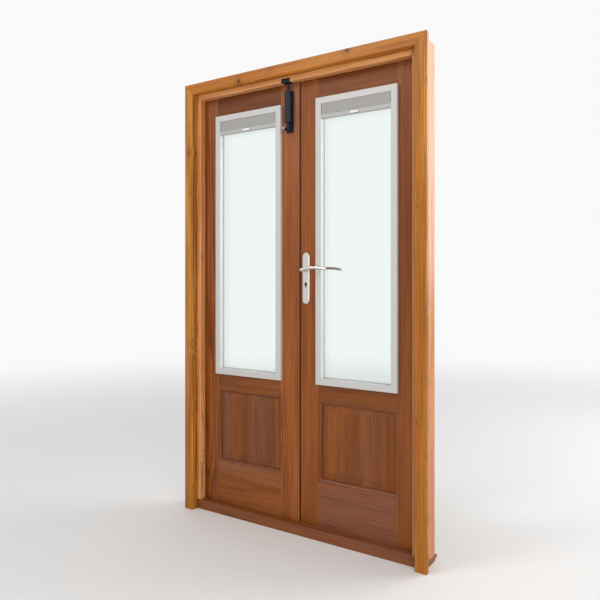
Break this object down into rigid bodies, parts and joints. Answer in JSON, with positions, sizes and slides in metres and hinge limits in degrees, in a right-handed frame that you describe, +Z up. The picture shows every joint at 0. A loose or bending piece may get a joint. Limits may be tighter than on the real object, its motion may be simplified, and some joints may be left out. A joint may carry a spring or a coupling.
{
  "type": "glazed double door set",
  "caption": "Pair of part-glazed timber doors with raised panels, clip-in blinds, lever handle and bolt, hung outwards in a frame with pine lining and architrave.",
  "frame": {"origin": "on the underside of the sill, at the middle of the doorway's width and of the frame's depth", "axes": "+Z up, +X to the right as seen from the room, +Y from the room to the open air"},
  "size_m": [1.238, 0.1755, 2.055],
  "materials": {
    "pine": "clear satin varnish over knotty pine",
    "frame_timber": "satin varnished softwood",
    "stained_hardwood": "red-brown stain, satin",
    "glass": "clear polished",
    "spacer_metal": "mill finish",
    "white_coated_metal": "white powder coat",
    "satin_metal": "satin nickel look",
    "blind_cloth": "pleated grey cloth",
    "blind_bar_metal": "grey powder coat",
    "hinge_steel": "brushed",
    "black_metal": "black satin paint",
    "bolt_steel": "black paint worn at the knob",
    "dark_metal": "dark aged"
  },
  "bodies": {
    "frame": {"frame_hinges_left": "hinge_steel", "frame_jamb_left": "frame_timber", "side_stop_left": "frame_timber", "lining_left": "pine", "architrave_left": "pine", "frame_hinges_right": "hinge_steel", "frame_jamb_right": "frame_timber", "side_stop_right": "frame_timber", "lining_right": "pine", "architrave_right": "pine", "sill": "stained_hardwood", "frame_head": "frame_timber", "head_stop": "frame_timber", "lining_head": "pine", "architrave_head": "pine", "bolt_keep": "black_metal"},
    "left_leaf": {"left_hinge_stile": "stained_hardwood", "left_meeting_stile": "stained_hardwood", "left_top_rail": "stained_hardwood", "left_mid_rail": "stained_hardwood", "left_bottom_rail": "stained_hardwood", "left_panel": "stained_hardwood", "left_panel_beads": "stained_hardwood", "left_glazing_beads": "stained_hardwood", "left_glass": "glass", "left_glass_spacer": "spacer_metal", "left_blind_frame": "white_coated_metal", "left_blind_stack": "blind_cloth", "left_blind_bar": "blind_bar_metal", "left_leaf_hinges": "hinge_steel", "left_strike_plate": "hinge_steel", "bolt_casing": "black_metal"},
    "right_leaf": {"right_hinge_stile": "stained_hardwood", "right_meeting_stile": "stained_hardwood", "right_top_rail": "stained_hardwood", "right_mid_rail": "stained_hardwood", "right_bottom_rail": "stained_hardwood", "right_panel": "stained_hardwood", "right_panel_beads": "stained_hardwood", "right_glazing_beads": "stained_hardwood", "right_glass": "glass", "right_glass_spacer": "spacer_metal", "right_blind_frame": "white_coated_metal", "right_blind_stack": "blind_cloth", "right_blind_bar": "blind_bar_metal", "right_leaf_hinges": "hinge_steel", "right_lock_faceplate": "hinge_steel", "right_lock_cylinder": "dark_metal", "right_handle_plate_inside": "satin_metal", "right_handle_plate_outside": "satin_metal"},
    "lever": {"lever_inside": "satin_metal", "lever_outside": "satin_metal", "lever_spindle": "hinge_steel"},
    "bolt": {"bolt_shaft": "bolt_steel"}
  },
  "joints": [
    {"name": "left_leaf_hinge", "type": "hinge", "parent": "frame", "child": "left_leaf", "pos_m": [-0.5605, 0.0545, 1], "axis": [0, 0, 1], "range_deg": [0, 165]},
    {"name": "right_leaf_hinge", "type": "hinge", "parent": "frame", "child": "right_leaf", "pos_m": [0.5605, 0.0545, 1], "axis": [0, 0, -1], "range_deg": [0, 165]},
    {"name": "lever_turn", "type": "hinge", "parent": "right_leaf", "child": "lever", "pos_m": [0.0385, 0.0195, 1.155], "axis": [0, 1, 0], "range_deg": [0, 40], "stiffness_Nm_per_rad": 1, "springref_deg": -34.38},
    {"name": "bolt_slide", "type": "slide", "parent": "left_leaf", "child": "bolt", "axis": [0, 0, 1], "range_m": [0, 0.022]}
  ]
}
